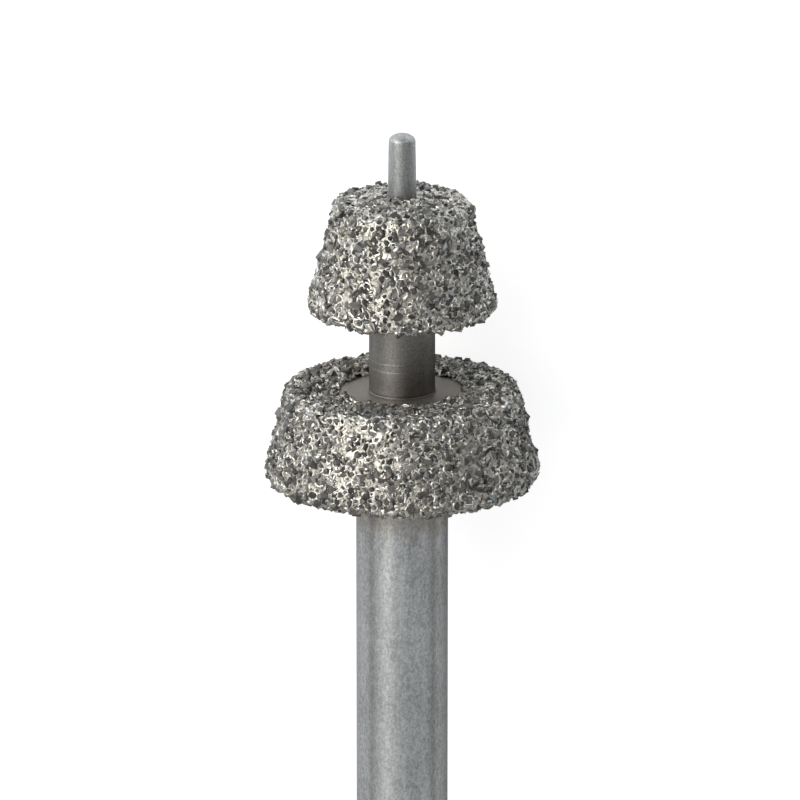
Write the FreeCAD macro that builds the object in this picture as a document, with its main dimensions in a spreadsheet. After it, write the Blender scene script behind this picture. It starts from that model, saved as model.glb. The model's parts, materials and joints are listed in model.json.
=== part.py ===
"""Dental bur with two conical grit heads and a pilot pin, lying at rest on a flat surface.

The bur is one turned steel blank: a straight shank, a large conical head, a plain neck, a small
conical head and a smooth pilot pin. Each head carries a plated coat of coarse grit that wraps its
shoulder and its lower rim. Lengths are in millimetres, angles in degrees.

Every piece is drawn about its own Z axis, with the free end of the shank at zero and the pin's tip
up. The whole bur is then laid down along +Y: it rests on the end of its shank and on the lower rim
of the large coat, with its origin on the surface under the middle of its box.
"""
import FreeCAD, Part
import math
import os

import Sketcher

# Driving sizes, one cell each
SIZES = {
    "overall_length": 44.5,
    "shank_diameter": 2.35,
    "shank_chamfer": 0.2,
    "shank_root_radius": 0.1,
    "taper_angle": 14.0,
    "large_base_diameter": 6.78,
    "large_height": 2.215,
    "large_shoulder_radius": 0.26,
    "large_rim_radius": 0.27,
    "neck_diameter": 1.68,
    "neck_length": 2.26,
    "band_height": 0.02,
    "band_width": 0.2,
    "band_offset": 0.67,
    "foot_height": 0.035,
    "foot_width": 0.055,
    "small_base_diameter": 4.52,
    "small_height": 2.63,
    "small_shoulder_radius": 0.34,
    "small_rim_radius": 0.18,
    "small_crown": 0.12,
    "pilot_length": 1.88,
    "pilot_root_diameter": 0.73,
    "pilot_tip_diameter": 0.68,
    "pilot_dome_radius": 0.41,
    "core_bevel": 0.08,
    "coat_thickness": 0.13,
    "coat_underlap": 0.42,
    "bare_ring_diameter": 3.18,
    "rest_roll": 84.0,
}

# Tolerance for finding an edge by its place
FIND_TOLERANCE = 1e-4


def size(name):
    """Expression that reads one driving size."""
    return "Sizes." + name


# Radii and heights of the turned profile, as expressions of the driving sizes
SLOPE = "tan(Sizes.taper_angle * 1 deg)"
SHANK_R = "Sizes.shank_diameter / 2"
NECK_R = "Sizes.neck_diameter / 2"
PILOT_ROOT_R = "Sizes.pilot_root_diameter / 2"
PILOT_TIP_R = "Sizes.pilot_tip_diameter / 2"
LARGE_BASE_R = "Sizes.large_base_diameter / 2"
LARGE_TOP_R = LARGE_BASE_R + " - Sizes.large_height * " + SLOPE
SMALL_BASE_R = "Sizes.small_base_diameter / 2"
SMALL_TOP_R = SMALL_BASE_R + " - Sizes.small_height * " + SLOPE
BARE_RING_R = "Sizes.bare_ring_diameter / 2"
SMALL_TOP = "Sizes.overall_length - Sizes.pilot_length"
SMALL_BASE = SMALL_TOP + " - Sizes.small_height"
LARGE_TOP = SMALL_BASE + " - Sizes.neck_length"
LARGE_BASE = LARGE_TOP + " - Sizes.large_height"
DOME_DEPTH = ("Sizes.pilot_dome_radius"
              " - sqrt(Sizes.pilot_dome_radius ^ 2 - (Sizes.pilot_tip_diameter / 2) ^ 2)")

# Corners of the two cores, each a radius and a height
CORE_CORNERS = {
    "large_rim": (LARGE_BASE_R, LARGE_BASE),
    "large_shoulder": (LARGE_TOP_R, LARGE_TOP),
    "small_rim": (SMALL_BASE_R, SMALL_BASE),
    "small_shoulder": (SMALL_TOP_R, SMALL_TOP),
}

# Centre of the rounding of the large coat's lower rim
RIM_INSET = "(Sizes.large_rim_radius - Sizes.coat_thickness)"
RIM_CENTRE_R = LARGE_BASE_R + " - " + RIM_INSET + " * (" + SLOPE + " + 1 / cos(Sizes.taper_angle * 1 deg))"
RIM_CENTRE_Z = LARGE_BASE + " + " + RIM_INSET

# How the bur lies: its axis climbs from the shank's end to the larger rim of the large coat
REST_RUN = "(" + RIM_CENTRE_Z + " - Sizes.shank_chamfer)"
REST_RISE = "(" + RIM_CENTRE_R + " - " + SHANK_R + ")"
REST_TILT = ("atan2(" + REST_RISE + "; " + REST_RUN + ")"
             " + asin(Sizes.large_rim_radius / sqrt(" + REST_RISE + " ^ 2 + " + REST_RUN + " ^ 2))")
REST_HEIGHT = SHANK_R + " * cos(Rest.tilt) - Sizes.shank_chamfer * sin(Rest.tilt)"
REST_BACK = ("-((Sizes.overall_length - Sizes.pilot_dome_radius) * cos(Rest.tilt) + Sizes.pilot_dome_radius"
             " - (" + SHANK_R + " - Sizes.shank_chamfer) * sin(Rest.tilt)) / 2")
REST_PLACE = ("placement(vector(0 mm; Rest.back; Rest.height);"
              " rotation(vector(-1; 0; 0); 90 deg - Rest.tilt)"
              " * rotation(vector(0; 0; 1); Sizes.rest_roll * 1 deg))")


def make_sizes(document):
    """Write the driving sizes to the sheet, one row each, under their own names."""
    sheet = document.addObject("Spreadsheet::Sheet", "Sizes")
    for row, (name, value) in enumerate(SIZES.items(), start=1):
        sheet.set("A%d" % row, name)
        sheet.set("B%d" % row, str(value))
        sheet.setAlias("B%d" % row, name)
    document.recompute()
    return sheet


def make_rest(document):
    """Work out the tilt and the place at which the bur comes to rest."""
    rest = document.addObject("App::VarSet", "Rest")
    rest.addProperty("App::PropertyAngle", "tilt", "Rest")
    rest.addProperty("App::PropertyDistance", "back", "Rest")
    rest.addProperty("App::PropertyDistance", "height", "Rest")
    rest.setExpression("tilt", REST_TILT)
    rest.setExpression("back", REST_BACK)
    rest.setExpression("height", REST_HEIGHT)
    document.recompute()
    return rest


def lay_down(body):
    """Roll a piece about its own axis, lay the axis along the rest tilt and set it on the surface."""
    body.setExpression("Placement", REST_PLACE)


def value_of(sheet, expression):
    """Number that an expression of the sheet gives now, in millimetres or degrees."""
    result = sheet.evalExpression(expression.replace("Sizes.", ""))
    return float(getattr(result, "Value", result))


def place_of(sheet, corner):
    """Radius and height of a corner, as numbers."""
    return [value_of(sheet, expression) for expression in corner]


def make_body(document, label):
    """Start one piece of the bur, laid down with the others."""
    body = document.addObject("PartDesign::Body", label)
    body.Label = label
    lay_down(body)
    return body


def half_section(body, name):
    """Sketch on the upright plane through the axis: X is the radius and Y the height."""
    sketch = body.newObject("Sketcher::SketchObject", name)
    plane = [item for item in body.Origin.OriginFeatures if item.Role == "XZ_Plane"][0]
    sketch.AttachmentSupport = [(plane, "")]
    sketch.MapMode = "FlatFace"
    return sketch


def draw_outline(sketch, points):
    """Draw straight lines from point to point and back to the first, joined at their ends."""
    count = len(points)
    corners = [FreeCAD.Vector(radius, height, 0) for radius, height in points]
    for index in range(count):
        sketch.addGeometry(Part.LineSegment(corners[index], corners[(index + 1) % count]), False)
    last = sketch.GeometryCount - count
    for index in range(count):
        follower = last + (index + 1) % count
        sketch.addConstraint(Sketcher.Constraint("Coincident", last + index, 2, follower, 1))
    return last


def dimension(sketch, expression, kind, *places):
    """Add one dimension to a sketch and tie it to an expression of the sizes."""
    value = value_of(sketch.Document.Sizes, expression)
    if kind == "Angle":
        value = math.radians(value)
    index = sketch.addConstraint(Sketcher.Constraint(kind, *places, value))
    sketch.setExpression("Constraints[%d]" % index, expression)


def set_place(sketch, line, radius=None, height=None):
    """Tie the start of a line to a radius from the axis and a height above the shank's end."""
    if radius is not None:
        dimension(sketch, radius, "DistanceX", -1, 1, line, 1)
    if height is not None:
        dimension(sketch, height, "DistanceY", -1, 1, line, 1)


def revolve(body, sketch, name):
    """Turn a half section once round the body's axis."""
    turned = body.newObject("PartDesign::Revolution", name)
    turned.Profile = sketch
    turned.ReferenceAxis = (sketch, ["V_Axis"])
    turned.Angle = 360.0
    sketch.Visibility = False
    body.Document.recompute()
    return turned


def ring_edges(shape, radius, height):
    """Names of the round edges that lie at one radius and height."""
    names = []
    for index, edge in enumerate(shape.Edges, start=1):
        if edge.Degenerated or not isinstance(edge.Curve, Part.Circle):
            continue
        off_radius = abs(edge.Curve.Radius - radius)
        off_height = abs(edge.Curve.Center.z - height)
        if max(off_radius, off_height) < FIND_TOLERANCE:
            names.append("Edge%d" % index)
    if not names:
        raise ValueError("no round edge at radius %.3f and height %.3f" % (radius, height))
    return names


def round_edge(body, name, place, radius):
    """Round the edge at a place, given as radius and height, to a radius of its own."""
    base = body.Tip
    fillet = body.newObject("PartDesign::Fillet", name)
    fillet.Base = (base, ring_edges(base.Shape, *place))
    fillet.setExpression("Radius", radius)
    body.Document.recompute()


def chamfer_edge(body, name, place, width):
    """Bevel the edge at a place, given as radius and height, by one width on both sides."""
    base = body.Tip
    chamfer = body.newObject("PartDesign::Chamfer", name)
    chamfer.Base = (base, ring_edges(base.Shape, *place))
    chamfer.setExpression("Size", width)
    body.Document.recompute()


def draw_turned_profile(body, sheet):
    """Half section of the whole blank with sharp corners, from the shank's end to the pin's tip."""
    stations = [
        ("0", "0"),
        (SHANK_R, "0"),
        (SHANK_R, LARGE_BASE),
        (LARGE_BASE_R, LARGE_BASE),
        (LARGE_TOP_R, LARGE_TOP),
        (NECK_R, LARGE_TOP),
        (NECK_R, SMALL_BASE),
        (SMALL_BASE_R, SMALL_BASE),
        (SMALL_TOP_R, SMALL_TOP),
        (PILOT_ROOT_R, SMALL_TOP + " + Sizes.small_crown"),
        (PILOT_TIP_R, "Sizes.overall_length - (" + DOME_DEPTH + ")"),
        ("0", "Sizes.overall_length"),
    ]
    sketch = half_section(body, "turned_profile")
    corners = [FreeCAD.Vector(*place_of(sheet, station)) for station in stations]
    dome_line = len(stations) - 2
    for index in range(dome_line):
        sketch.addGeometry(Part.LineSegment(corners[index], corners[index + 1]), False)
    dome_radius = value_of(sheet, size("pilot_dome_radius"))
    centre = FreeCAD.Vector(0, corners[-1].y - dome_radius, 0)
    circle = Part.Circle(centre, FreeCAD.Vector(0, 0, 1), dome_radius)
    dome = sketch.addGeometry(
        Part.ArcOfCircle(circle, circle.parameter(corners[-2]), circle.parameter(corners[-1])), False)
    axis = sketch.addGeometry(Part.LineSegment(corners[-1], corners[0]), False)
    for index in range(dome_line):
        sketch.addConstraint(Sketcher.Constraint("Coincident", index, 2, index + 1, 1))
    sketch.addConstraint(Sketcher.Constraint("Coincident", dome, 2, axis, 1))
    sketch.addConstraint(Sketcher.Constraint("Coincident", axis, 2, 0, 1))
    sketch.addConstraint(Sketcher.Constraint("Coincident", 0, 1, -1, 1))
    sketch.addConstraint(Sketcher.Constraint("Vertical", axis))
    sketch.addConstraint(Sketcher.Constraint("Horizontal", 0))
    sketch.addConstraint(Sketcher.Constraint("PointOnObject", dome, 3, -2))
    set_place(sketch, 1, radius=SHANK_R)
    for line in range(2, dome_line):
        set_place(sketch, line, *stations[line])
    set_place(sketch, dome, radius=PILOT_TIP_R)
    set_place(sketch, axis, height=size("overall_length"))
    dimension(sketch, size("pilot_dome_radius"), "Radius", dome)
    return sketch


def draw_ring(sketch, sheet, inner, outer, bottom, top):
    """Closed square section of a ring that stands on the neck."""
    places = [(inner, bottom), (outer, bottom), (outer, top), (inner, top)]
    corners = [(value_of(sheet, radius), value_of(sheet, height)) for radius, height in places]
    first = draw_outline(sketch, corners)
    for offset, (radius, height) in enumerate(places):
        set_place(sketch, first + offset, radius, height)


def make_blank(document, sheet):
    """Steel blank, turned and ground from one bar."""
    body = make_body(document, "steel_blank")
    revolve(body, draw_turned_profile(body, sheet), "turning")

    rings = half_section(body, "neck_rings")
    core = NECK_R + " / 2"
    band_bottom = LARGE_TOP + " + Sizes.band_offset"
    draw_ring(rings, sheet, core, NECK_R + " + Sizes.band_height",
              band_bottom, band_bottom + " + Sizes.band_width")
    draw_ring(rings, sheet, core, NECK_R + " + Sizes.foot_height",
              LARGE_TOP + " - Sizes.foot_width", LARGE_TOP + " + Sizes.foot_width")
    revolve(body, rings, "neck_ring_turning")

    for name, corner in CORE_CORNERS.items():
        chamfer_edge(body, name + "_bevel", place_of(sheet, corner), size("core_bevel"))
    round_edge(body, "shank_root", place_of(sheet, (SHANK_R, LARGE_BASE)), size("shank_root_radius"))
    chamfer_edge(body, "shank_bevel", place_of(sheet, (SHANK_R, "0")), size("shank_chamfer"))
    return body


def draw_coat_profile(body, sheet, base_r, base_z, top_r, top_z, inner_r, inner_z):
    """Closed half section of one coat, an even layer over the top, the side and the lower rim.

    The inner lines follow the steel and the outer ones run beside them at the coat's thickness.
    """
    thickness = value_of(sheet, size("coat_thickness"))
    hem_r = base_r + " - Sizes.coat_underlap"
    inner = [(hem_r, base_z), (base_r, base_z), (top_r, top_z), (inner_r, inner_z)]
    corners = [(value_of(sheet, radius), value_of(sheet, height)) for radius, height in inner]
    (hem_x, base_y), (base_x, _), (top_x, top_y), (inner_x, inner_y) = corners
    corners += [
        (inner_x, inner_y + thickness),
        (top_x + thickness, top_y + thickness),
        (base_x + thickness, base_y - thickness),
        (hem_x, base_y - thickness),
    ]
    sketch = half_section(body, "coat_profile")
    draw_outline(sketch, corners)
    for line, (radius, height) in enumerate(inner):
        set_place(sketch, line, radius, height)
    under, side, top, end_face, outer_top, outer_side, outer_under, hem = range(len(corners))
    for steel_line, coat_line in ((under, outer_under), (side, outer_side), (top, outer_top)):
        sketch.addConstraint(Sketcher.Constraint("Parallel", steel_line, coat_line))
        dimension(sketch, size("coat_thickness"), "Distance", coat_line, 1, steel_line)
    sketch.addConstraint(Sketcher.Constraint("Vertical", hem))
    return sketch, end_face


def make_large_coat(document, sheet):
    """Grit coat of the large head, open at the top so that a bare steel ring shows round the neck."""
    body = make_body(document, "large_grit_coat")
    sketch, end_face = draw_coat_profile(
        body, sheet, LARGE_BASE_R, LARGE_BASE, LARGE_TOP_R, LARGE_TOP, BARE_RING_R, LARGE_TOP)
    sketch.addConstraint(Sketcher.Constraint("Vertical", end_face))
    revolve(body, sketch, "coat_layer")
    shape_coat_edges(body, sheet, "large")
    return body


def make_small_coat(document, sheet):
    """Grit coat of the small head, closed over its crowned top right up to the pilot pin."""
    body = make_body(document, "small_grit_coat")
    sketch, end_face = draw_coat_profile(
        body, sheet, SMALL_BASE_R, SMALL_BASE, SMALL_TOP_R, SMALL_TOP,
        PILOT_ROOT_R, SMALL_TOP + " + Sizes.small_crown")
    pin_lean = ("atan((" + PILOT_ROOT_R + " - " + PILOT_TIP_R + ") / (Sizes.pilot_length - Sizes.small_crown"
                " - (" + DOME_DEPTH + ")))")
    dimension(sketch, pin_lean, "Angle", -2, 1, end_face, 1)
    revolve(body, sketch, "coat_layer")
    shape_coat_edges(body, sheet, "small")
    return body


def outer_corner(shape, height, above):
    """Radius and height of the widest sharp ring above or below a height."""
    curves = [edge.Curve for edge in shape.Edges if not edge.Degenerated]
    rings = [curve for curve in curves if isinstance(curve, Part.Circle)]
    rings = [ring for ring in rings if (ring.Center.z > height) == above]
    widest = max(rings, key=lambda ring: ring.Radius)
    return widest.Radius, widest.Center.z


def shape_coat_edges(body, sheet, head):
    """Bevel a coat's inner edges as the steel under them is, and round its outer ones."""
    sharp = body.Tip.Shape
    rim = place_of(sheet, CORE_CORNERS[head + "_rim"])
    shoulder = place_of(sheet, CORE_CORNERS[head + "_shoulder"])
    outer_rim = outer_corner(sharp, rim[1] - FIND_TOLERANCE, False)
    outer_shoulder = outer_corner(sharp, shoulder[1] + FIND_TOLERANCE, True)
    chamfer_edge(body, "rim_seat", rim, size("core_bevel"))
    chamfer_edge(body, "shoulder_seat", shoulder, size("core_bevel"))
    round_edge(body, "rim_round", outer_rim, size(head + "_rim_radius"))
    round_edge(body, "shoulder_round", outer_shoulder, size(head + "_shoulder_radius"))


def check(document, bodies):
    """Stop if a feature failed or a piece has no sound solid."""
    for item in document.Objects:
        if "Invalid" in item.State or "Error" in item.State:
            raise RuntimeError(item.Name + " failed: " + ", ".join(item.State))
    for body in bodies:
        if body.Shape.isNull() or not body.Shape.isValid() or len(body.Shape.Solids) != 1:
            raise RuntimeError(body.Label + " is not one valid solid")


def main():
    """Build the three pieces and write each one to its own file."""
    document = FreeCAD.newDocument("dental_bur")
    sheet = make_sizes(document)
    rest = make_rest(document)
    bodies = [
        make_blank(document, sheet),
        make_large_coat(document, sheet),
        make_small_coat(document, sheet),
    ]
    document.recompute()
    check(document, bodies)
    print("rest tilt %.5f deg, back %.5f, height %.5f" % (
        rest.tilt.Value, rest.back.Value, rest.height.Value))
    os.makedirs("parts", exist_ok=True)
    for body in bodies:
        box = body.Shape.BoundBox
        print("%s: volume %.4f, x %.4f..%.4f, y %.4f..%.4f, z %.4f..%.4f" % (
            body.Label, body.Shape.Volume, box.XMin, box.XMax, box.YMin, box.YMax, box.ZMin, box.ZMax))
        body.Shape.exportStep("parts/" + body.Label + ".step")


main()
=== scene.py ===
"""Dental bur with two grit-plated conical heads, lying on a pale floor in soft studio light.

The turned blank, the nickel bond of each head and the diamond grains in it are built about the bur's
own axis in millimetres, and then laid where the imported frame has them.
"""
import json
import logging
import math
import random
from dataclasses import dataclass, field
from enum import Enum
from typing import Any, Optional, Sequence

import bmesh
import bpy
from mathutils import Matrix, Vector, noise

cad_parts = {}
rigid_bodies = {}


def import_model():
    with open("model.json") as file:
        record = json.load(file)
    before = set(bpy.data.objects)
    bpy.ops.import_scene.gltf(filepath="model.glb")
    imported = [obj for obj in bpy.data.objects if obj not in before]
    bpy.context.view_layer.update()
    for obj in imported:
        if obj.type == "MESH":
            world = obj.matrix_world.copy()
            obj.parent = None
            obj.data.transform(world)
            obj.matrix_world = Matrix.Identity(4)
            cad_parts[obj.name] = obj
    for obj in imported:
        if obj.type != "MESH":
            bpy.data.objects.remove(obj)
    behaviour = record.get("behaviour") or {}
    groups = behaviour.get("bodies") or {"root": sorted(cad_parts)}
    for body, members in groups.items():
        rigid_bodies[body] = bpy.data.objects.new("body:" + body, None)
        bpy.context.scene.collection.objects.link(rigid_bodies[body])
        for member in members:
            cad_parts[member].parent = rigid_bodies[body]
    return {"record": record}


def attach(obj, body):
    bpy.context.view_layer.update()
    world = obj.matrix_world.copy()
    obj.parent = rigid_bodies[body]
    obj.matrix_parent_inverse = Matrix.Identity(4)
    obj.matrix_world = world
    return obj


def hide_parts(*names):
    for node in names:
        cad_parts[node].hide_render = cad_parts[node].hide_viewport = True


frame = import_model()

LOG = logging.getLogger("dental_bur")
MM = 0.001
TINY = 1e-6
CRYSTAL_KINDS = 8
COLLAR_KINDS = 6
Point = tuple[float, float]
Colour = tuple[float, float, float]
Socket = bpy.types.NodeSocket
Tree = bpy.types.NodeTree


class Slot(Enum):
    """Material slots of the record."""

    STEEL = "ground_steel"
    GRIT = "plated_grit"


class Layer(Enum):
    """Which part of a grit coat a Geometry Nodes run returns."""

    BOND = 0
    COLLARS = 1
    GRAINS = 2


class Draw(Enum):
    """Seeds of the random draws in the grit tree."""

    CRYSTAL_TURN = 3
    CRYSTAL_STRETCH = 4
    GROWTH = 5
    CRYSTAL_KIND = 6
    CRYSTAL_TINT = 7
    FACET_TINT = 9
    CRYSTAL_LIFT = 21
    COLLAR_LEAN = 31
    COLLAR_STRETCH = 32
    COLLAR_KIND = 33


@dataclass(frozen=True)
class BurSizes:
    """Sizes of the turned blank and its coats in millimetres, with the taper in degrees."""

    overall_length: float = 44.5
    shank_diameter: float = 2.35
    shank_chamfer: float = 0.2
    shank_root_radius: float = 0.1
    taper_angle: float = 14.0
    large_base_diameter: float = 6.78
    large_height: float = 2.215
    large_shoulder_radius: float = 0.26
    large_rim_radius: float = 0.27
    neck_diameter: float = 1.68
    neck_length: float = 2.26
    band_height: float = 0.02
    band_width: float = 0.2
    band_offset: float = 0.67
    foot_height: float = 0.035
    foot_width: float = 0.055
    small_base_diameter: float = 4.52
    small_height: float = 2.63
    small_shoulder_radius: float = 0.34
    small_rim_radius: float = 0.18
    small_crown: float = 0.12
    pilot_length: float = 1.88
    pilot_root_diameter: float = 0.73
    pilot_tip_diameter: float = 0.68
    core_bevel: float = 0.08
    coat_thickness: float = 0.13
    coat_underlap: float = 0.42
    bare_ring_diameter: float = 3.18
    pilot_lap: float = 0.02

    @property
    def small_top(self) -> float:
        """Height of the small core's shoulder above the shank's end."""
        return self.overall_length - self.pilot_length

    @property
    def small_base(self) -> float:
        """Height of the small core's underside."""
        return self.small_top - self.small_height

    @property
    def large_top(self) -> float:
        """Height of the large core's flat top."""
        return self.small_base - self.neck_length

    @property
    def large_base(self) -> float:
        """Height of the large core's underside."""
        return self.large_top - self.large_height

    def top_radius(self, base_diameter: float, height: float) -> float:
        """Radius of a core's shoulder.

        Args:
            base_diameter: diameter of the core's underside.
            height: height of the core.

        Returns:
            The radius that the taper leaves at the top.
        """
        return base_diameter / 2 - height * math.tan(math.radians(self.taper_angle))

    def core_path(self, base_diameter: float, height: float, top: float, end: Point) -> list[Point]:
        """Profile of the steel under a coat, from its underside to its upper edge.

        Args:
            base_diameter: diameter of the core's underside.
            height: height of the core.
            top: height of its shoulder above the shank's end.
            end: where the coat ends on the top.

        Returns:
            The corners as radius and height.
        """
        rim, base = base_diameter / 2, top - height
        return [(rim - self.coat_underlap, base), (rim, base), (self.top_radius(base_diameter, height), top), end]


@dataclass(frozen=True)
class BurAxis:
    """The bur's own axis as it lies: local Z runs from the shank's end to the tip, local -Y faces up."""

    origin: Vector
    along: Vector

    @classmethod
    def from_record(cls, record: dict[str, Any], sizes: BurSizes) -> "BurAxis":
        """Read the axis from the shank's mount, whose place is the middle of the shank.

        Args:
            record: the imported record.
            sizes: sizes of the bur.

        Returns:
            The axis in metres.
        """
        mount = next(item for item in record["mounts"] if item["name"] == "shank")
        along = -Vector(mount["axis"]).normalized()
        middle = (sizes.shank_chamfer + sizes.large_base - sizes.shank_root_radius) / 2
        return cls(Vector(mount["pos_m"]) - along * middle * MM, along)

    @property
    def turn(self) -> Matrix:
        """Rotation from the bur's own axes to the frame."""
        side = Vector((1.0, 0.0, 0.0))
        down = self.along.cross(side)
        return Matrix((side, down, self.along)).transposed()

    @property
    def matrix(self) -> Matrix:
        """Matrix from millimetres about the bur's axis to metres in the frame."""
        scale = Matrix.Scale(MM, 4)
        return Matrix.Translation(self.origin) @ self.turn.to_4x4() @ scale

    def direction(self, azimuth: float, elevation: float) -> Vector:
        """Direction seen from the bur, as a maker names it with the bur held upright.

        Args:
            azimuth: degrees to the right of the side that faces up.
            elevation: degrees from square on towards the tip.

        Returns:
            A unit vector in the frame.
        """
        turn, lift = math.radians(azimuth), math.radians(elevation)
        local = Vector((math.sin(turn) * math.cos(lift), -math.cos(turn) * math.cos(lift), math.sin(lift)))
        return self.turn @ local

    def place(self, x: float, y: float, z: float) -> Vector:
        """Point of the frame for a point in millimetres about the bur's axis."""
        return self.matrix @ Vector((x, y, z))


# Profiles


def offset_path(path: Sequence[Point], distance: float) -> list[Point]:
    """Move a profile sideways, to the right of its run, with mitred corners.

    Args:
        path: corners as radius and height.
        distance: how far to move it, in millimetres.

    Returns:
        The moved corners.
    """
    normals = []
    for (r0, z0), (r1, z1) in zip(path, path[1:]):
        length = math.hypot(r1 - r0, z1 - z0)
        normals.append(((z1 - z0) / length, (r0 - r1) / length))
    moved = []
    for index, (radius, height) in enumerate(path):
        first = normals[max(index - 1, 0)]
        second = normals[min(index, len(normals) - 1)]
        spread = 1 + first[0] * second[0] + first[1] * second[1]
        moved.append((radius + distance * (first[0] + second[0]) / spread,
                      height + distance * (first[1] + second[1]) / spread))
    return moved


def round_path(path: Sequence[Point], radii: dict[int, float], steps: int = 6) -> list[Point]:
    """Round chosen corners of a profile.

    Args:
        path: corners as radius and height.
        radii: rounding radius by corner number.
        steps: straight pieces in each rounding.

    Returns:
        The profile with arcs in place of the chosen corners.
    """
    rounded: list[Point] = []
    for index, corner in enumerate(path):
        radius = radii.get(index, 0.0)
        if not radius:
            rounded.append(corner)
            continue
        here = Vector(corner)
        back = (Vector(path[index - 1]) - here).normalized()
        ahead = (Vector(path[index + 1]) - here).normalized()
        half = back.angle(ahead) / 2
        start = here + back * (radius / math.tan(half))
        end = here + ahead * (radius / math.tan(half))
        centre = here + (back + ahead).normalized() * (radius / math.sin(half))
        for step in range(steps + 1):
            spoke = (start - centre).slerp(end - centre, step / steps) * radius
            rounded.append((centre.x + spoke.x, centre.y + spoke.y))
    return rounded


def divide_path(path: Sequence[Point], pitch: float) -> list[Point]:
    """Split a profile's runs so that none is longer than the pitch."""
    divided = [path[0]]
    for (r0, z0), (r1, z1) in zip(path, path[1:]):
        count = max(1, math.ceil(math.hypot(r1 - r0, z1 - z0) / pitch - TINY))
        for step in range(1, count + 1):
            share = step / count
            divided.append((r0 + (r1 - r0) * share, z0 + (z1 - z0) * share))
    return divided


@dataclass
class Lathe:
    """Turns a half profile round the bur's axis into a closed quad mesh."""

    segments: int

    def turn(self, name: str, profile: Sequence[Point], closed: bool = False) -> bpy.types.Mesh:
        """Turn a profile once round.

        Args:
            name: name of the new mesh.
            profile: radius and height of each ring; a radius of zero gives one vertex.
            closed: True joins the last ring to the first.

        Returns:
            The mesh, in millimetres, with a "ring" attribute that numbers its rings.
        """
        verts: list[tuple[float, float, float]] = []
        rings: list[list[int]] = []
        numbers: list[int] = []
        for number, (radius, height) in enumerate(profile):
            count = 1 if radius < TINY else self.segments
            first = len(verts)
            for step in range(count):
                angle = math.tau * step / self.segments
                verts.append((radius * math.cos(angle), radius * math.sin(angle), height))
                numbers.append(number)
            rings.append([first + step % count for step in range(self.segments)])
        pairs = list(zip(rings, rings[1:]))
        if closed:
            pairs.append((rings[-1], rings[0]))
        faces = []
        for lower, upper in pairs:
            for step in range(self.segments):
                after = (step + 1) % self.segments
                loop = [lower[step], lower[after], upper[after], upper[step]]
                faces.append(list(dict.fromkeys(loop)))
        mesh = bpy.data.meshes.new(name)
        mesh.from_pydata(verts, [], faces)
        attribute = mesh.attributes.new("ring", "INT", "POINT")
        attribute.data.foreach_set("value", numbers)
        return mesh


def point_outwards(mesh: bpy.types.Mesh, sharp_angle: float) -> None:
    """Make a closed mesh's faces point outwards, and shade it smooth except at sharp edges.

    Args:
        mesh: the mesh.
        sharp_angle: degrees between two faces from which their edge is sharp.
    """
    work = bmesh.new()
    work.from_mesh(mesh)
    bmesh.ops.recalc_face_normals(work, faces=work.faces)
    work.to_mesh(mesh)
    work.free()
    mesh.polygons.foreach_set("use_smooth", [True] * len(mesh.polygons))
    mesh.set_sharp_from_angle(angle=math.radians(sharp_angle))


def finish_piece(name: str, mesh: bpy.types.Mesh, axis: BurAxis, nodes: Sequence[str]) -> None:
    """Lay a mesh down in the frame and hide the CAD nodes that it replaces.

    Args:
        name: name of the piece.
        mesh: its mesh in millimetres about the bur's axis.
        axis: the bur's axis.
        nodes: CAD nodes that it replaces.
    """
    mesh.transform(axis.matrix)
    for vertex in mesh.vertices:
        vertex.co.z = max(vertex.co.z, 0.0)
    mesh.update()
    mesh.name = name
    piece = bpy.data.objects.new(name, mesh)
    bpy.context.scene.collection.objects.link(piece)
    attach(piece, "root")
    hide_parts(*nodes)
    mesh.calc_loop_triangles()
    LOG.info("%s: %d triangles", name, len(mesh.loop_triangles))


# Node trees


@dataclass(frozen=True)
class Fade:
    """Smooth change of a value from one place to another."""

    low: float
    high: float
    start: float
    end: float


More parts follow.
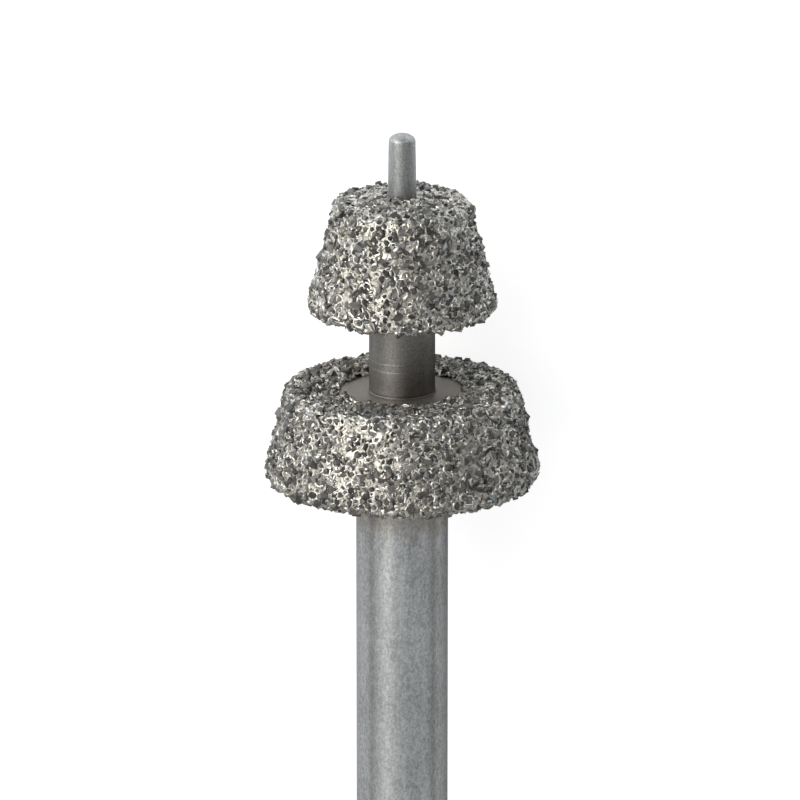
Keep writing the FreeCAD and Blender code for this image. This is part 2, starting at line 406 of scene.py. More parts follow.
class TreeBuilder:
    """Short calls for nodes and links in one tree."""

    RANDOM_SOCKETS: dict[str, tuple[int, int, int]] = {
        "FLOAT_VECTOR": (0, 1, 0), "FLOAT": (2, 3, 1), "INT": (4, 5, 2)}

    def __init__(self, tree: Tree) -> None:
        """Start on a tree."""
        self.tree = tree

    def node(self, kind: str, inputs: Optional[dict[Any, Any]] = None, **settings: Any) -> bpy.types.Node:
        """Add a node.

        Args:
            kind: its type name.
            inputs: values or sockets by input name or number.
            settings: its properties.

        Returns:
            The node.
        """
        made = self.tree.nodes.new(kind)
        for key, value in settings.items():
            setattr(made, key, value)
        for key, value in (inputs or {}).items():
            self.feed(made.inputs[key], value)
        return made

    def result(self, **outputs: Socket) -> Tree:
        """Link the outputs of a group by name, and give its tree."""
        self.node("NodeGroupOutput", outputs)
        return self.tree

    def feed(self, target: Socket, value: Any) -> None:
        """Link a socket to an input, or set the input to a value."""
        if isinstance(value, Socket):
            self.tree.links.new(value, target)
        else:
            target.default_value = value

    def math(self, operation: str, first: Any, second: Any) -> Socket:
        """Result of a Math node on two values or sockets."""
        return self.node("ShaderNodeMath", {0: first, 1: second}, operation=operation).outputs[0]

    def plus(self, first: Any, second: Any) -> Socket:
        """Sum of two values or sockets."""
        return self.math("ADD", first, second)

    def minus(self, first: Any, second: Any) -> Socket:
        """Difference of two values or sockets."""
        return self.math("SUBTRACT", first, second)

    def times(self, first: Any, second: Any) -> Socket:
        """Product of two values or sockets."""
        return self.math("MULTIPLY", first, second)

    def remap(self, value: Any, low: Any, high: float, start: Any, end: Any,
              smooth: bool = False) -> Socket:
        """Map a value from one range to another, clamped.

        Args:
            value: the socket to map.
            low: its lowest value.
            high: its highest value.
            start: result at the lowest.
            end: result at the highest.
            smooth: True eases both ends.

        Returns:
            The mapped socket.
        """
        made = self.node("ShaderNodeMapRange", {"Value": value, "From Min": low, "From Max": high,
                                                "To Min": start, "To Max": end})
        made.interpolation_type = "SMOOTHSTEP" if smooth else "LINEAR"
        return made.outputs["Result"]

    def stretch(self, value: Any, low: float, high: float) -> Socket:
        """Map the range between two values to 0 and 1."""
        return self.remap(value, low, high, 0.0, 1.0)

    def fade(self, value: Any, fade: Fade) -> Socket:
        """Let a value fade smoothly."""
        return self.remap(value, fade.low, fade.high, fade.start, fade.end, smooth=True)

    def choose(self, chance: Any, first: Any, second: Any) -> Socket:
        """First number where the share is 0, second where it is 1."""
        return self.node("ShaderNodeMix", {0: chance, 2: first, 3: second}, data_type="FLOAT").outputs[0]

    def blend(self, share: Any, first: Any, second: Any, kind: str = "MIX") -> Socket:
        """Mix two colours by a share, or multiply the first by the second."""
        made = self.node("ShaderNodeMix", {0: share}, data_type="RGBA", blend_type=kind)
        for number, value in ((6, first), (7, second)):
            self.feed(made.inputs[number], (*value, 1.0) if isinstance(value, tuple) else value)
        return made.outputs[2]

    def noise(self, vector: Any, scale: Any, detail: float, **more: float) -> Socket:
        """Value of a Noise Texture, with further inputs by name."""
        inputs = {"Vector": vector, "Scale": scale, "Detail": detail, **more}
        return self.node("ShaderNodeTexNoise", inputs).outputs["Fac"]

    def parts(self, vector: Socket) -> Any:
        """Sockets X, Y and Z of a vector."""
        return self.node("ShaderNodeSeparateXYZ", {"Vector": vector}).outputs

    def scaled(self, vector: Any, length: Any) -> Socket:
        """A vector times a number."""
        return self.node("ShaderNodeVectorMath", {0: vector, "Scale": length}, operation="SCALE").outputs[0]

    def move(self, geometry: Any, direction: Any, length: Any) -> Socket:
        """Geometry moved by a length along a direction."""
        return self.node("GeometryNodeSetPosition", {
            "Geometry": geometry, "Offset": self.scaled(direction, length)}).outputs[0]

    def rotation(self, euler: Any) -> Socket:
        """Rotation by three angles."""
        return self.node("FunctionNodeEulerToRotation", {"Euler": euler}).outputs[0]

    def random(self, kind: str, low: Any, high: Any, draw: Draw, **more: Any) -> Socket:
        """Random value of each element between two bounds, with further inputs by name."""
        first, second, result = self.RANDOM_SOCKETS[kind]
        inputs = {first: low, second: high, "Seed": draw.value, **more}
        return self.node("FunctionNodeRandomValue", inputs, data_type=kind).outputs[result]

    def attribute(self, name: str) -> Socket:
        """Value of an attribute of floats."""
        return self.node("GeometryNodeInputNamedAttribute", {"Name": name}, data_type="FLOAT").outputs["Attribute"]

    def store(self, geometry: Any, name: str, value: Any, domain: str) -> Socket:
        """Geometry with one more attribute of floats."""
        return self.node("GeometryNodeStoreNamedAttribute", {
            "Geometry": geometry, "Name": name, "Value": value}, data_type="FLOAT", domain=domain).outputs[0]


def bur_coordinates(build: TreeBuilder, axis: BurAxis,
                    stretch: Sequence[float] = (1.0, 1.0, 1.0)) -> Socket:
    """Object coordinates turned to the bur's own axis, in millimetres, stretched along each axis.

    Args:
        build: builder of the tree.
        axis: the bur's axis.
        stretch: length of one unit along each axis in millimetres.

    Returns:
        The vector socket.
    """
    turned = build.node("ShaderNodeMapping", {
        "Vector": build.node("ShaderNodeTexCoord").outputs["Object"],
        "Location": tuple(axis.origin),
        "Rotation": tuple(axis.turn.to_euler()),
        "Scale": tuple(length * MM for length in stretch),
    }, vector_type="TEXTURE")
    return turned.outputs["Vector"]


def new_group(name: str, inputs: dict[str, float], outputs: Sequence[str]) -> tuple[TreeBuilder, Any]:
    """Start a shader node group with float inputs and outputs.

    Args:
        name: the group's name.
        inputs: default values by input name.
        outputs: output names.

    Returns:
        The builder of its tree, and the sockets of its inputs.
    """
    tree = bpy.data.node_groups.new(name, "ShaderNodeTree")
    for label, value in inputs.items():
        socket = tree.interface.new_socket(name=label, in_out="INPUT", socket_type="NodeSocketFloat")
        socket.default_value = value
    for label in outputs:
        tree.interface.new_socket(name=label, in_out="OUTPUT", socket_type="NodeSocketFloat")
    build = TreeBuilder(tree)
    return build, build.node("NodeGroupInput").outputs


@dataclass(frozen=True)
class SteelEffects:
    """Shared marks on bare steel, each a group of its own."""

    streaks: Tree
    turning: Tree
    specks: Tree
    mottle: Tree
    # Painted shade near a root on the axis, in part with a stain's tint.
    stain: Tree

    @classmethod
    def build(cls, axis: BurAxis) -> "SteelEffects":
        """Make the groups once.

        Args:
            axis: the bur's axis, which the marks follow.

        Returns:
            The groups.
        """
        return cls(cls.make_streaks(axis), cls.make_turning(axis), cls.make_specks(axis),
                   cls.make_mottle(axis), cls.make_stain(axis))

    @staticmethod
    def make_streaks(axis: BurAxis) -> Tree:
        """Short lines along the axis, broken at random, over a few longer ones."""
        build, given = new_group("drawn_streaks", {"Fineness": 13.0}, ["Streak", "Height"])
        fine = build.noise(bur_coordinates(build, axis, (1.0, 1.0, 5.0)), given["Fineness"], 3.0,
                           Roughness=0.6, Distortion=0.5)
        broad = build.noise(bur_coordinates(build, axis, (1.0, 1.0, 16.0)), 3.6, 2.0)
        both = build.plus(build.times(fine, 0.7), build.times(broad, 0.3))
        return build.result(Streak=build.stretch(both, 0.36, 0.64), Height=fine)

    @staticmethod
    def make_turning(axis: BurAxis) -> Tree:
        """Fine rings round the axis, left by the cutting tool on a neck or a flat."""
        build, given = new_group("turning_marks", {"Fineness": 24.0}, ["Ring", "Height"])
        vector = bur_coordinates(build, axis)
        parts = build.parts(vector)
        flat = build.node("ShaderNodeCombineXYZ", {"X": parts["X"], "Y": parts["Y"]})
        radius = build.node("ShaderNodeVectorMath", {0: flat.outputs["Vector"]}, operation="LENGTH")
        where = build.node("ShaderNodeCombineXYZ", {"X": radius.outputs["Value"], "Y": parts["Z"]})
        fine = build.noise(where.outputs["Vector"], given["Fineness"], 3.0)
        broken = build.noise(vector, 1.4, 2.0)
        faded = build.times(build.stretch(fine, 0.35, 0.65), build.remap(broken, 0.35, 0.65, 0.35, 1.0))
        return build.result(Ring=faded, Height=fine)

    @staticmethod
    def make_specks(axis: BurAxis) -> Tree:
        """Grainy specks of a blasted or much-handled surface."""
        build, given = new_group("fine_specks", {"Fineness": 15.0}, ["Speck", "Height"])
        speck = build.noise(bur_coordinates(build, axis, (1.0, 1.0, 1.35)), given["Fineness"], 2.0,
                            Roughness=0.7, Distortion=0.8)
        return build.result(Speck=build.stretch(speck, 0.38, 0.62), Height=speck)

    @staticmethod
    def make_mottle(axis: BurAxis) -> Tree:
        """Soft clouds, like the touch of fingers and cleaning on bare steel."""
        build, given = new_group("soft_mottle", {"Scale": 1.6}, ["Cloud"])
        cloud = build.noise(bur_coordinates(build, axis, (1.0, 1.0, 2.2)), given["Scale"], 4.0,
                            Roughness=0.6, Distortion=0.3)
        return build.result(Cloud=build.stretch(cloud, 0.32, 0.68))

    @staticmethod
    def make_stain(axis: BurAxis) -> Tree:
        """Darkening that starts at a root on the axis and dies away, painted shade with a stain's tint in part; a
        negative reach runs towards the tip.

        One side is 0 for darkening all round and 1 for painted shade that keeps to the right of the side that
        faces up, away from the key light.
        """
        build, given = new_group(
            "bath_stain", {"Root": 0.0, "Reach": 1.5, "Wander": 1.4, "One side": 0.0}, ["Stain"])
        vector = bur_coordinates(build, axis)
        parts = build.parts(vector)
        cloud = build.minus(build.noise(vector, 2.0, 5.0, Roughness=0.65), 0.5)
        away = build.plus(build.minus(given["Root"], parts["Z"]),
                          build.times(cloud, given["Wander"]))
        spread = build.remap(build.math("DIVIDE", away, given["Reach"]), 0.0, 1.0, 1.0, 0.0, smooth=True)
        clean = build.times(given["One side"],
                           build.remap(parts["X"], -0.35, 0.3, 1.0, 0.0, smooth=True))
        stained = build.times(spread, build.minus(1.0, clean))
        return build.result(Stain=stained)


@dataclass(frozen=True)
class Stain:
    """Colour of a darkening, painted shade with a stain's tint in part, where it starts on the axis, how far it
    reaches and wanders, and if it keeps to a side.
    """

    colour: Colour
    root: float
    reach: float
    wander: float
    one_side: float = 0.0


def start_material(name: str) -> tuple[bpy.types.Material, TreeBuilder, bpy.types.Node]:
    """New material with its Principled BSDF.

    Args:
        name: the material's name.

    Returns:
        The material, a builder of its tree and the shader node.
    """
    material = bpy.data.materials.new(name)
    material.use_nodes = True
    build = TreeBuilder(material.node_tree)
    return material, build, material.node_tree.nodes["Principled BSDF"]


def dress_metal(build: TreeBuilder, shader: bpy.types.Node, colour: Any, rough: Any, height: Any,
                bump_mm: float) -> None:
    """Feed the shader of a metal.

    Args:
        build: builder of the material's tree.
        shader: its Principled BSDF.
        colour: colour socket.
        rough: roughness socket.
        height: height socket of its fine relief.
        bump_mm: depth of that relief in millimetres.
    """
    bump = build.node("ShaderNodeBump", {"Height": height, "Strength": 1.0, "Distance": bump_mm * MM})
    build.feed(shader.inputs["Base Color"], colour)
    build.feed(shader.inputs["Roughness"], rough)
    build.feed(shader.inputs["Normal"], bump.outputs["Normal"])
    build.feed(shader.inputs["Metallic"], 1.0)


@dataclass(frozen=True)
class SteelFinish:
    """Bare steel, ground along its length or turned; the marks are shares of one, clouds fill the rest."""

    name: str
    light: Colour
    dark: Colour
    edge_tint: Colour
    roughness: float
    streaks: float = 0.0
    rings: float = 0.0
    specks: float = 0.0
    speck_fineness: float = 15.0
    bump_mm: float = 0.004
    stain: Optional[Stain] = None

    def make(self, effects: SteelEffects) -> bpy.types.Material:
        """Build the material.

        Args:
            effects: shared node groups.

        Returns:
            The material.
        """
        material, build, shader = start_material(self.name)
        marks = [(effects.streaks, "Streak", self.streaks), (effects.turning, "Ring", self.rings),
                 (effects.specks, "Speck", self.specks)]
        clouds = 1.0 - self.streaks - self.rings - self.specks
        cloud = build.node("ShaderNodeGroup", node_tree=effects.mottle)
        share = build.times(cloud.outputs["Cloud"], clouds)
        height: Any = 0.0
        for tree, output, weight in marks:
            if weight:
                mark = build.node("ShaderNodeGroup", node_tree=tree)
                if output == "Speck":
                    mark.inputs["Fineness"].default_value = self.speck_fineness
                share = build.plus(share, build.times(mark.outputs[output], weight))
                height = build.plus(height, build.times(mark.outputs["Height"], weight))
        colour = build.blend(share, self.light, self.dark)
        # The stain group paints shade near a root, with a stain's tint in part.
        if self.stain:
            stain = build.node("ShaderNodeGroup", {
                "Root": self.stain.root, "Reach": self.stain.reach, "Wander": self.stain.wander,
                "One side": self.stain.one_side}, node_tree=effects.stain)
            colour = build.blend(stain.outputs["Stain"], colour, self.stain.colour, "MULTIPLY")
        rough = build.remap(share, 0.0, 1.0, self.roughness - 0.035, self.roughness + 0.05)
        dress_metal(build, shader, colour, rough, height, self.bump_mm)
        shader.inputs["Specular Tint"].default_value = (*self.edge_tint, 1.0)
        return material


@dataclass(frozen=True)
class NickelFinish:
    """Electroplated nickel between the grains: creamy, bright and finely lumpy."""

    name: str
    bright: Colour
    stained: Colour
    roughness: float
    bump_mm: float

    def make(self, axis: BurAxis) -> bpy.types.Material:
        """Build the material.

        Args:
            axis: the bur's axis, which centres the pattern.

        Returns:
            The material.
        """
        material, build, shader = start_material(self.name)
        vector = bur_coordinates(build, axis)
        stain = build.noise(vector, 2.6, 5.0, Roughness=0.65)
        colour = build.blend(build.stretch(stain, 0.42, 0.66), self.bright, self.stained)
        rough = build.remap(stain, 0.3, 0.7, self.roughness - 0.05, self.roughness + 0.12)
        dress_metal(build, shader, colour, rough, build.noise(vector, 26.0, 3.0), self.bump_mm)
        return material


@dataclass(frozen=True)
class DiamondFinish:
    """Diamond grains: dark grey-brown crystals with hard glints; a few facets are painted pale or tinted, as
    painted glints.
    """

    name: str
    body: Sequence[tuple[float, Colour]]
    painted_facet_glints: Sequence[tuple[float, Colour]]
    roughness: float
    refraction: float = 1.75
    cloud_tint: Colour = (0.45, 0.43, 0.42)
    cloud_share: float = 0.55
    glint_from: float = 0.87

    def make(self, axis: BurAxis) -> bpy.types.Material:
        """Build the material.

        Args:
            axis: the bur's axis, which centres the clouding.

        Returns:
            The material.
        """
        material, build, shader = start_material(self.name)
        grain = build.node("ShaderNodeAttribute", attribute_name="grain_tint").outputs["Fac"]
        facet = build.node("ShaderNodeAttribute", attribute_name="facet_tint").outputs["Fac"]
        # Painted glints: facets whose facet_tint passes glint_from take a pale or tinted colour.
        painted_glint = build.stretch(facet, self.glint_from, self.glint_from + 0.01)
        shade = build.stretch(build.noise(bur_coordinates(build, axis), 20.0, 3.0), 0.35, 0.65)
        mottled = build.blend(build.times(shade, self.cloud_share),
                              self.ramp(build, grain, self.body), self.cloud_tint, "MULTIPLY")
        colour = build.blend(painted_glint, mottled, self.ramp(build, facet, self.painted_facet_glints))
        build.feed(shader.inputs["Base Color"], colour)
        build.feed(shader.inputs["Roughness"], build.remap(shade, 0.0, 1.0, self.roughness, self.roughness + 0.18))
        build.feed(shader.inputs["IOR"], self.refraction)
        return material

    @staticmethod
    def ramp(build: TreeBuilder, value: Socket,
             stops: Sequence[tuple[float, Colour]]) -> Socket:
        """Colour ramp with hard steps.

        Args:
            build: builder of the tree.
            value: the socket that picks the colour.
            stops: place and colour of each step.

        Returns:
            The colour socket.
        """
        node = build.node("ShaderNodeValToRGB", {"Fac": value})
        node.color_ramp.interpolation = "CONSTANT"
        for number, (place, colour) in enumerate(stops):
            element = node.color_ramp.elements[number] if number < 2 else node.color_ramp.elements.new(place)
            element.position = place
            element.color = (*colour, 1.0)
        return node.outputs["Color"]


# The turned blank


@dataclass
class TurnedBlank:
    """The steel bar, turned and ground in one: shank, two cores, neck with its rings, and pilot pin."""

    sizes: BurSizes
    axis: BurAxis
    segments: int = 224
    shank_pitch: float = 1.2
    neck_pitch: float = 0.3
    end_radius: float = 0.03
    bevel_radius: float = 0.05
    root_steps: int = 4
    lip_slope: float = 0.036
    relief_share: float = 0.35
    groove_share: float = 0.7
    shoulder_flare: float = 0.02
    dome_height: float = 0.2
    dome_steps: int = 12
    sharp_angle: float = 12.0
    face_allowance: float = 0.001
    # Shank: its stain paints shade under the large head, where the head shadows it, with a brownish tint in part.
    shank_finish: SteelFinish = SteelFinish(
        "ground_steel_shank", (0.75, 0.757, 0.757), (0.31, 0.318, 0.322), (0.79, 0.83, 0.87), 0.31,
        streaks=0.28, specks=0.50, bump_mm=0.006,
        stain=Stain((0.72, 0.665, 0.60), BurSizes().large_base - 0.85, 0.9, 0.9))
    # Neck: its dark base is partly the turned finish and partly painted shade between the heads; its stain paints
    # shade low on the neck and on its right, away from the key light.
    neck_finish: SteelFinish = SteelFinish(
        "turned_steel_neck", (0.345, 0.332, 0.31), (0.17, 0.161, 0.151), (0.6, 0.6, 0.58), 0.50,
        rings=0.2, specks=0.55, speck_fineness=24.0, bump_mm=0.005,
        stain=Stain((0.42, 0.40, 0.395), BurSizes().large_top, -1.9, 0.4, 1.0))
    face_finish: SteelFinish = SteelFinish(
        "turned_steel_face", (0.60, 0.567, 0.54), (0.43, 0.404, 0.381), (0.7, 0.68, 0.66), 0.45,
        rings=0.35, specks=0.4, speck_fineness=24.0, bump_mm=0.003)
    # Pilot pin: its stain paints shade at the pin's root, more on its right, with a brownish tint in part.
    pin_finish: SteelFinish = SteelFinish(
        "smooth_steel_pin", (0.54, 0.55, 0.545), (0.25, 0.258, 0.26), (0.8, 0.82, 0.84), 0.50,
        streaks=0.30, specks=0.55, speck_fineness=20.0, bump_mm=0.008,
        stain=Stain((0.62, 0.56, 0.53), BurSizes().small_top + 0.15, -0.6, 0.25, 0.6))

    def shank_profile(self) -> list[Point]:
        """Profile from the centre of the shank's end to its root under the large head."""
        s = self.sizes
        radius = s.shank_diameter / 2
        path = [(0.0, 0.0), (radius - s.shank_chamfer, 0.0), (radius, s.shank_chamfer),
                (radius, s.large_base), (s.large_base_diameter / 2 - s.coat_underlap, s.large_base)]
        radii = {1: self.end_radius, 2: self.bevel_radius, 3: s.shank_root_radius}
        return divide_path(round_path(path, radii, self.root_steps), self.shank_pitch)

    def middle_profile(self) -> list[Point]:
        """Profile over the large core and up the neck with the two edges of its band and its foot ring."""
        s = self.sizes
        neck, top, rim = s.neck_diameter / 2, s.large_top, s.large_base_diameter / 2
        band = top + s.band_offset
        shoulder = s.top_radius(s.large_base_diameter, s.large_height)
        core = [(rim - s.core_bevel, s.large_base), (rim, s.large_base + s.core_bevel),
                (shoulder, top - s.core_bevel), (shoulder - s.core_bevel, top)]
        lip, foot = neck + s.band_height * self.relief_share, neck + s.foot_height * self.relief_share
        groove = neck - s.foot_height * self.groove_share
        lines = []
        for start in (band, band + s.band_width):
            lines += [(neck, start - self.lip_slope * 0.5), (neck, start - self.lip_slope * 0.2), (lip, start),
                      (neck, start + self.lip_slope), (neck, start + self.lip_slope * 1.3)]
        base = [(radius, top + s.foot_width * share) for radius, share in (
            (foot, 0.0), (foot, 0.3), (neck, 0.6), (groove, 0.8), (groove, 1.1), (neck, 1.4), (neck, 1.6))]
        return core + divide_path(base + lines + [(neck, s.small_base)], self.neck_pitch)

    def upper_profile(self) -> list[Point]:
        """Profile over the small core and the pilot pin to its tip."""
        s = self.sizes
        rim = s.small_base_diameter / 2
        shoulder = s.top_radius(s.small_base_diameter, s.small_height)
        tip, dome = s.pilot_tip_diameter / 2, self.dome_height
        core = [(rim - s.core_bevel, s.small_base), (rim, s.small_base + s.core_bevel),
                (shoulder + self.shoulder_flare, s.small_top - s.core_bevel),
                (shoulder - s.core_bevel, s.small_top)]
        pin = [(s.pilot_root_diameter / 2, s.small_top + s.small_crown), (tip, s.overall_length - dome)]
        cap = []
        for step in range(1, self.dome_steps):
            turn = math.pi / 2 * step / self.dome_steps
            cap.append((tip * math.cos(turn), s.overall_length - dome * (1.0 - math.sin(turn))))
        return core + divide_path(pin, self.neck_pitch) + cap + [(0.0, s.overall_length)]

    def build(self, effects: SteelEffects) -> None:
        """Turn the blank, give each stretch its finish and put it in the frame.

        Args:
            effects: shared steel marks.
        """
        s = self.sizes
        profile = self.shank_profile() + self.middle_profile() + self.upper_profile()
        mesh = Lathe(self.segments).turn("turned_blank", profile)
        point_outwards(mesh, self.sharp_angle)
        for finish in (self.shank_finish, self.face_finish, self.neck_finish, self.pin_finish):
            mesh.materials.append(finish.make(effects))
        starts = (s.large_base - s.shank_root_radius, s.large_top + self.face_allowance, s.small_top)
        for polygon in mesh.polygons:
            polygon.material_index = sum(polygon.center.z > start for start in starts)
        finish_piece("turned_blank", mesh, self.axis, ["steel_blank"])


# The grit coats


@dataclass
class Stock:
    """A small stock of irregular shapes, about one unit across, that a Geometry Nodes tree picks from."""

    name: str
    kinds: int
    seed: int

    def shape(self, picker: random.Random) -> bmesh.types.BMesh:
        """Make one shape.

        Args:
            picker: source of its irregularity.

        Returns:
            The shape as an edit mesh, which the stock frees.
        """
        raise NotImplementedError

    def build(self) -> bpy.types.Collection:
        """Make the shapes.

        Returns:
            A collection that isn't part of the scene.
        """
        stock = bpy.data.collections.new(self.name + "_stock")
        picker = random.Random(self.seed)
        for kind in range(self.kinds):
            work = self.shape(picker)
            bmesh.ops.recalc_face_normals(work, faces=work.faces)
            mesh = bpy.data.meshes.new("%s_%d" % (self.name, kind))
            work.to_mesh(mesh)
            work.free()
            stock.objects.link(bpy.data.objects.new(mesh.name, mesh))
        return stock

    @staticmethod
    def clear(stock: bpy.types.Collection) -> None:
        """Remove the stock once the coats are made."""
        for item in list(stock.objects):
            bpy.data.objects.remove(item)
        bpy.data.collections.remove(stock)


@dataclass
class CrystalStock(Stock):
    """Blocky crystals with a dozen corners."""

    jitter: float = 0.16

    def shape(self, picker: random.Random) -> bmesh.types.BMesh:
        """Hull of the corners of a cuboctahedron, each moved at random."""
        work = bmesh.new()
        for first in (-1, 1):
            for second in (-1, 1):
                for corner in ((first, second, 0), (first, 0, second), (0, first, second)):
                    shift = Vector([picker.uniform(-self.jitter, self.jitter) for _ in range(3)])
                    work.verts.new(Vector(corner) * 0.5 / math.sqrt(2) + shift)
        hull = bmesh.ops.convex_hull(work, input=work.verts)
        loose = [item for item in hull["geom_interior"] if isinstance(item, bmesh.types.BMVert)]
        bmesh.ops.delete(work, geom=loose, context="VERTS")
        return work


@dataclass
class CollarStock(Stock):
    """Collars of nickel that stand round a grain: low lumpy rings with a rounded lip, broken in places."""

    corners: int = 6
    inner: float = 0.34
    wall: float = 0.26
    height: float = 0.25
    depth: float = 0.24
    jitter: float = 0.34
    rise: tuple[float, float] = (-0.5, 1.45)
    thinnest: float = 0.5
    thickest: float = 1.9
    sway: float = 0.25

    def shape(self, picker: random.Random) -> bmesh.types.BMesh:
        """Ring whose plan, width and height wander from corner to corner."""
        work = bmesh.new()
        rows = []
        for corner in range(self.corners):
            angle = math.tau * (corner + picker.uniform(-self.sway, self.sway)) / self.corners
            inner = self.inner * (1.0 + picker.uniform(-self.jitter, self.jitter))
            wall = self.wall * picker.uniform(self.thinnest, self.thickest)
            top = self.height * picker.uniform(*self.rise)
            profile = ((inner, -self.depth), (inner + wall * 0.1, top * 0.75), (inner + wall * 0.42, top),
                       (inner + wall * 0.85, top * 0.55), (inner + wall * 1.35, -self.depth))
            rows.append([work.verts.new((radius * math.cos(angle), radius * math.sin(angle), height))
                         for radius, height in profile])
        for row, after in zip(rows, rows[1:] + rows[:1]):
            for step in range(len(row)):
                following = (step + 1) % len(row)
                work.faces.new((row[step], row[following], after[following], after[step]))
        return work


class GritTree:
    """Geometry Nodes tree that makes an uneven skin, the grains set in it and the collars round them."""

    INPUTS: dict[str, str] = {
        "Geometry": "Geometry", "Spacing": "Float", "Grain size": "Float", "Size spread": "Float",
        "Lift": "Float", "Lift spread": "Float", "Unevenness": "Float", "Seed": "Int", "Layer": "Int",
        "Crystals": "Collection", "Collars": "Collection", "Finish": "Material",
    }
    MOST_DENSE = 4000.0
    LEAN = 0.22
    CRYSTAL_STRETCH: tuple[float, float] = (0.72, 1.32)
    COLLAR_STRETCH: tuple[tuple[float, ...], ...] = ((0.75, 0.75, 0.7), (1.25, 1.25, 1.2))

    def __init__(self) -> None:
        """Build the tree once, for both heads."""
        self.tree = bpy.data.node_groups.new("grit_coat", "GeometryNodeTree")
        for name, kind in self.INPUTS.items():
            self.tree.interface.new_socket(name=name, in_out="INPUT", socket_type="NodeSocket" + kind)
        self.tree.interface.new_socket(name="Geometry", in_out="OUTPUT", socket_type="NodeSocketGeometry")
        self.fill()

    def fill(self) -> None:
        """Lay out the nodes of the three branches."""
        build = TreeBuilder(self.tree)
        given = build.node("NodeGroupInput").outputs
        skin = build.attribute("skin")
        on_skin = build.node("FunctionNodeCompare", {0: skin, 1: 0.5}, data_type="FLOAT", operation="GREATER_THAN")
        bond = self.bond_branch(build, given, skin)
        scatter = build.node("GeometryNodeDistributePointsOnFaces", {
            "Mesh": bond, "Selection": on_skin.outputs[0], "Distance Min": given["Spacing"],
            "Density Max": self.MOST_DENSE, "Density Factor": 1.0, "Seed": given["Seed"],
        }, distribute_method="POISSON").outputs
        growth = build.times(build.random("FLOAT", -1.0, 1.0, Draw.GROWTH), given["Size spread"])
        size = build.times(build.plus(1.0, growth), given["Grain size"])
        points = build.store(scatter["Points"], "grain_size", size, "POINT")
        collars = self.collar_branch(build, given, points, scatter["Rotation"])
        grains = self.grain_branch(build, given, points, scatter["Normal"])
        chosen = build.node("GeometryNodeIndexSwitch", data_type="GEOMETRY")
        chosen.index_switch_items.new()
        for number, socket in enumerate((given["Layer"], bond, collars, grains)):
            build.feed(chosen.inputs[number], socket)
        whole = build.node("GeometryNodeRealizeInstances", {"Geometry": chosen.outputs[0]})
        index = build.node("GeometryNodeInputIndex").outputs[0]
        facets = build.store(whole.outputs[0], "facet_tint",
                             build.random("FLOAT", 0.0, 1.0, Draw.FACET_TINT, ID=index), "FACE")
        dressed = build.node("GeometryNodeSetMaterial", {"Geometry": facets, "Material": given["Finish"]})
        build.result(Geometry=dressed.outputs[0])

    @staticmethod
    def set_shapes(build: TreeBuilder, points: Socket, stock: Socket, pick: Socket, rotation: Socket,
                   stretch: Socket) -> Socket:
        """Set a shape of a stock on each point, in the size of the point's grain.

        Args:
            build: builder of the tree.
            points: the points.
            stock: collection of the shapes.
            pick: number of the shape on each point.
            rotation: how the shape is turned.
            stretch: how it is stretched along each axis.

        Returns:
            The instances.
        """
        shapes = build.node("GeometryNodeCollectionInfo", {
            "Collection": stock, "Separate Children": True, "Reset Children": True})
        return build.node("GeometryNodeInstanceOnPoints", {
            "Points": points, "Instance": shapes.outputs[0], "Pick Instance": True, "Instance Index": pick,
            "Rotation": rotation, "Scale": build.scaled(stretch, build.attribute("grain_size"))}).outputs[0]

    @staticmethod
    def grain_branch(build: TreeBuilder, given: Any, points: Socket,
                     normal: Socket) -> Socket:
        """Crystals on the scattered points, each turned, stretched and lifted at random."""
        chance = build.random("FLOAT", -1.0, 1.0, Draw.CRYSTAL_LIFT)
        lift = build.plus(given["Lift"], build.times(chance, given["Lift spread"]))
        turn = build.random("FLOAT_VECTOR", (0.0, 0.0, 0.0), (math.tau,) * 3, Draw.CRYSTAL_TURN)
        least, most = GritTree.CRYSTAL_STRETCH
        stretch = build.random("FLOAT_VECTOR", (least,) * 3, (most,) * 3, Draw.CRYSTAL_STRETCH)
        pick = build.random("INT", 0, CRYSTAL_KINDS - 1, Draw.CRYSTAL_KIND)
        placed = GritTree.set_shapes(build, build.move(points, normal, lift), given["Crystals"], pick,
                                     build.rotation(turn), stretch)
        return build.store(placed, "grain_tint", build.random("FLOAT", 0.0, 1.0, Draw.CRYSTAL_TINT), "INSTANCE")

    @staticmethod
    def collar_branch(build: TreeBuilder, given: Any, points: Socket,
                      upright: Socket) -> Socket:
        """Collars on the same points, standing on the skin, each spun and leaning a little."""
        most = GritTree.LEAN
        lean = build.random("FLOAT_VECTOR", (-most, -most, 0.0), (most, most, math.tau), Draw.COLLAR_LEAN)
        rotation = build.node("FunctionNodeRotateRotation", {
            "Rotation": upright, "Rotate By": build.rotation(lean)}, rotation_space="LOCAL").outputs[0]
        stretch = build.random("FLOAT_VECTOR", *GritTree.COLLAR_STRETCH, Draw.COLLAR_STRETCH)
        pick = build.random("INT", 0, COLLAR_KINDS - 1, Draw.COLLAR_KIND)
        return GritTree.set_shapes(build, points, given["Collars"], pick, rotation, stretch)

    @staticmethod
    def bond_branch(build: TreeBuilder, given: Any, skin: Socket) -> Socket:
        """The skin itself, uneven as plating is."""
        place = build.node("GeometryNodeInputPosition").outputs[0]
        uneven = build.plus(build.minus(build.noise(place, 3.2, 2.0), 0.5),
                            build.minus(build.noise(place, 1.3, 1.0), 0.5))
        height = build.times(build.times(uneven, given["Unevenness"]), skin)
        return build.move(given["Geometry"], build.node("GeometryNodeInputNormal").outputs[0], height)

